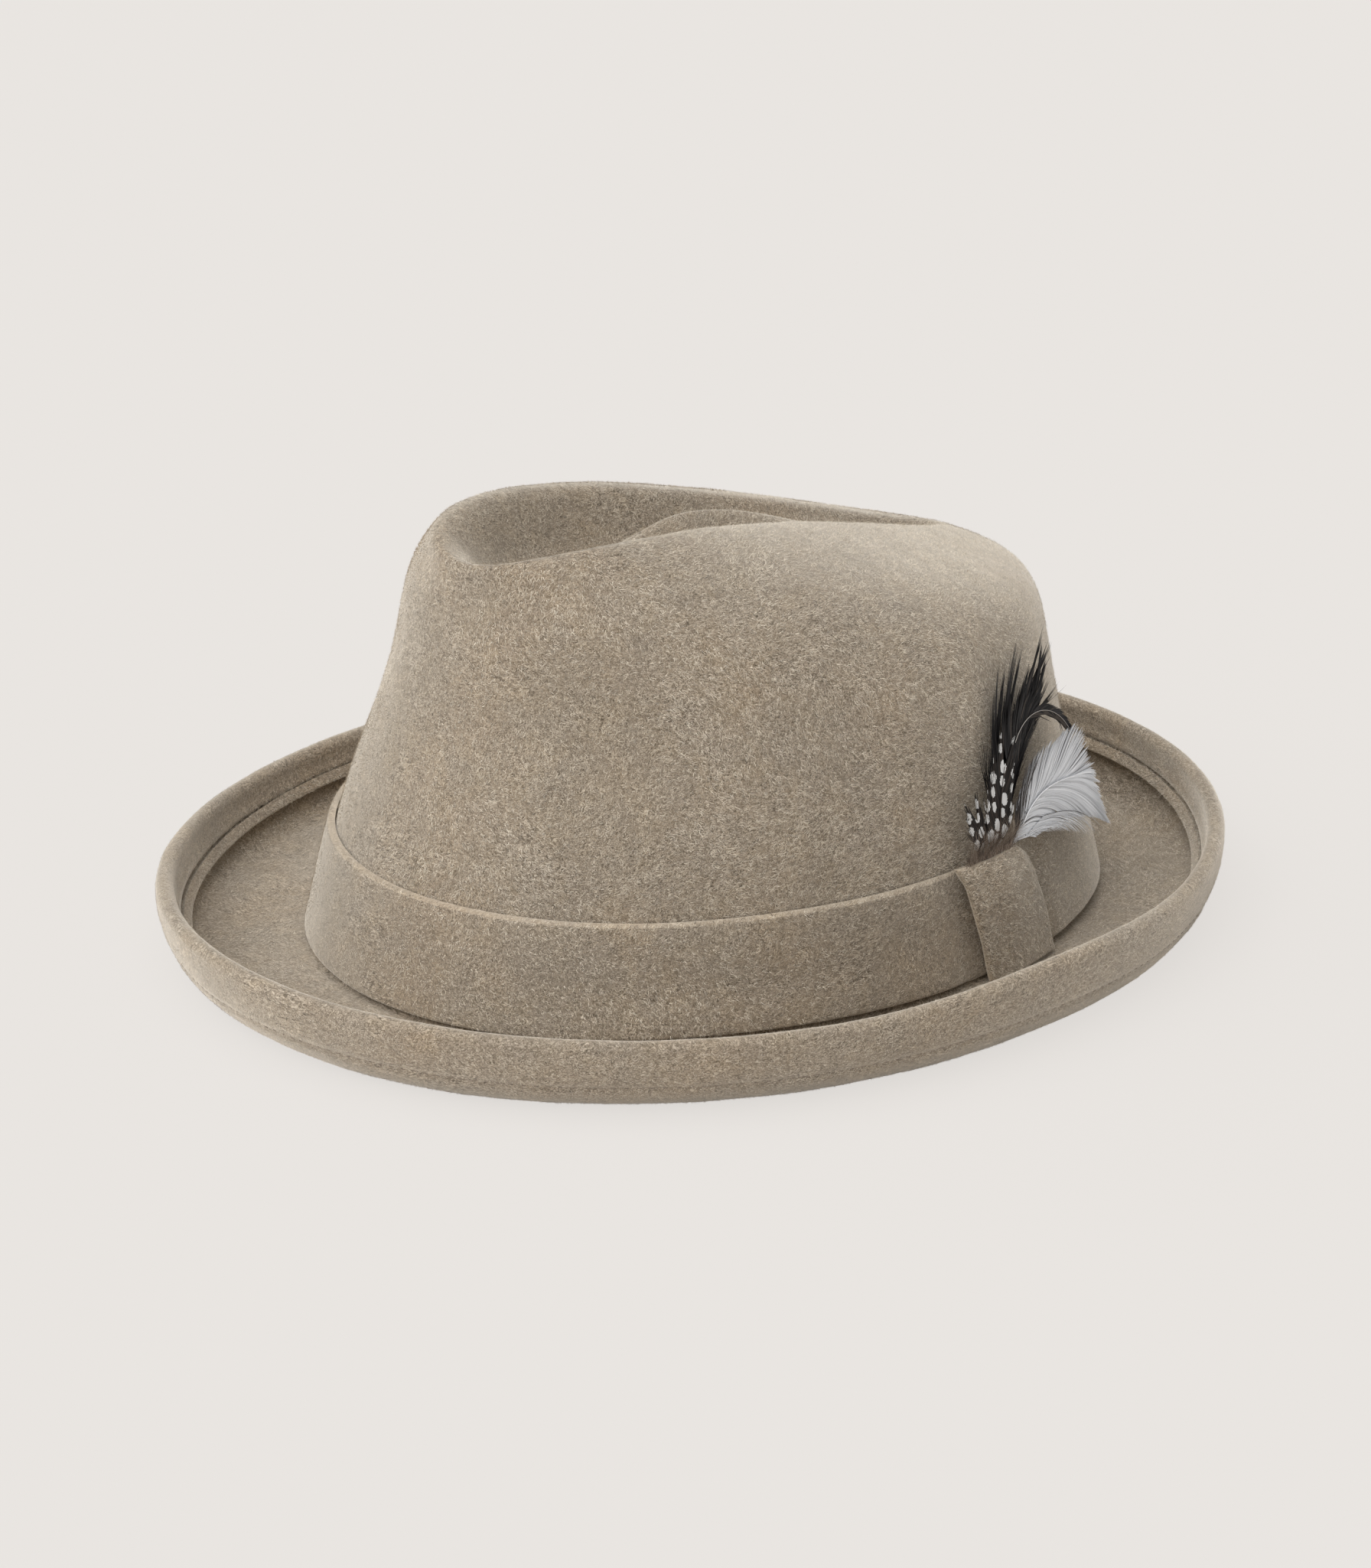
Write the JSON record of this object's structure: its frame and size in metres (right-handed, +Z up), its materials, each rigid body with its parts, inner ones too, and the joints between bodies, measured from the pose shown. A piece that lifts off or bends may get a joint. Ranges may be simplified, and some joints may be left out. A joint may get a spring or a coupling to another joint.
{
  "type": "fedora hat",
  "caption": "Felt fedora with creased teardrop crown, curled stitched brim edge, felt band with keeper loop, removable feather tuft, sweatband and satin lining",
  "frame": {"origin": "On the plane the hat rests on, under the middle of the rim's outline. The head oval's centre is 3.1 mm behind it.", "axes": "+Z up out of the crown, front of the hat at -Y, the wearer's left (the feather side) at +X."},
  "size_m": [0.2412, 0.277, 0.1105],
  "materials": {
    "felt_body": "soft brushed wool felt, warm taupe, with a short lighter nap",
    "felt_band": "the same felt cut as a strip, slightly darker and flatter",
    "stitch_thread": "matt sewing thread matched to the felt",
    "feather_black": "glossy black hackle barbs",
    "feather_guinea": "dark brown feather with oval white spots",
    "feather_white": "loose white barbs, slightly grey",
    "feather_down": "fine brown fluff",
    "sweatband_leather": "smooth tan leather",
    "inner_tape": "dark brown ribbon tape",
    "reed_plastic": "off-white plastic reed",
    "lining_satin": "champagne satin",
    "clear_patch": "clear film",
    "size_tab_paper": "plain blank tab"
  },
  "bodies": {
    "hat": {"felt_body": "felt_body", "welt_stitch_thread": "stitch_thread", "hat_band": "felt_band", "band_keeper": "felt_band", "keeper_tack": "stitch_thread", "sweatband_leather": "sweatband_leather", "sweatband_tape": "inner_tape", "sweatband_reed": "reed_plastic", "sweatband_stitch_thread": "stitch_thread", "sweatband_bow": "inner_tape", "lining_side": "lining_satin", "lining_tip": "lining_satin", "lining_piping": "lining_satin", "lining_tip_patch": "clear_patch", "size_tab": "size_tab_paper"},
    "feather_tuft": {"feather_quill_wrap": "stitch_thread", "feather_black_long": "feather_black", "feather_black_curl": "feather_black", "feather_guinea_a": "feather_guinea", "feather_guinea_b": "feather_guinea", "feather_white": "feather_white", "feather_brown_down": "feather_down"}
  },
  "joints": [
    {"name": "feather_pull", "type": "slide", "parent": "hat", "child": "feather_tuft", "axis": [-0.1964, -0.0341, 0.9799], "range_m": [0, 0.03]}
  ]
}
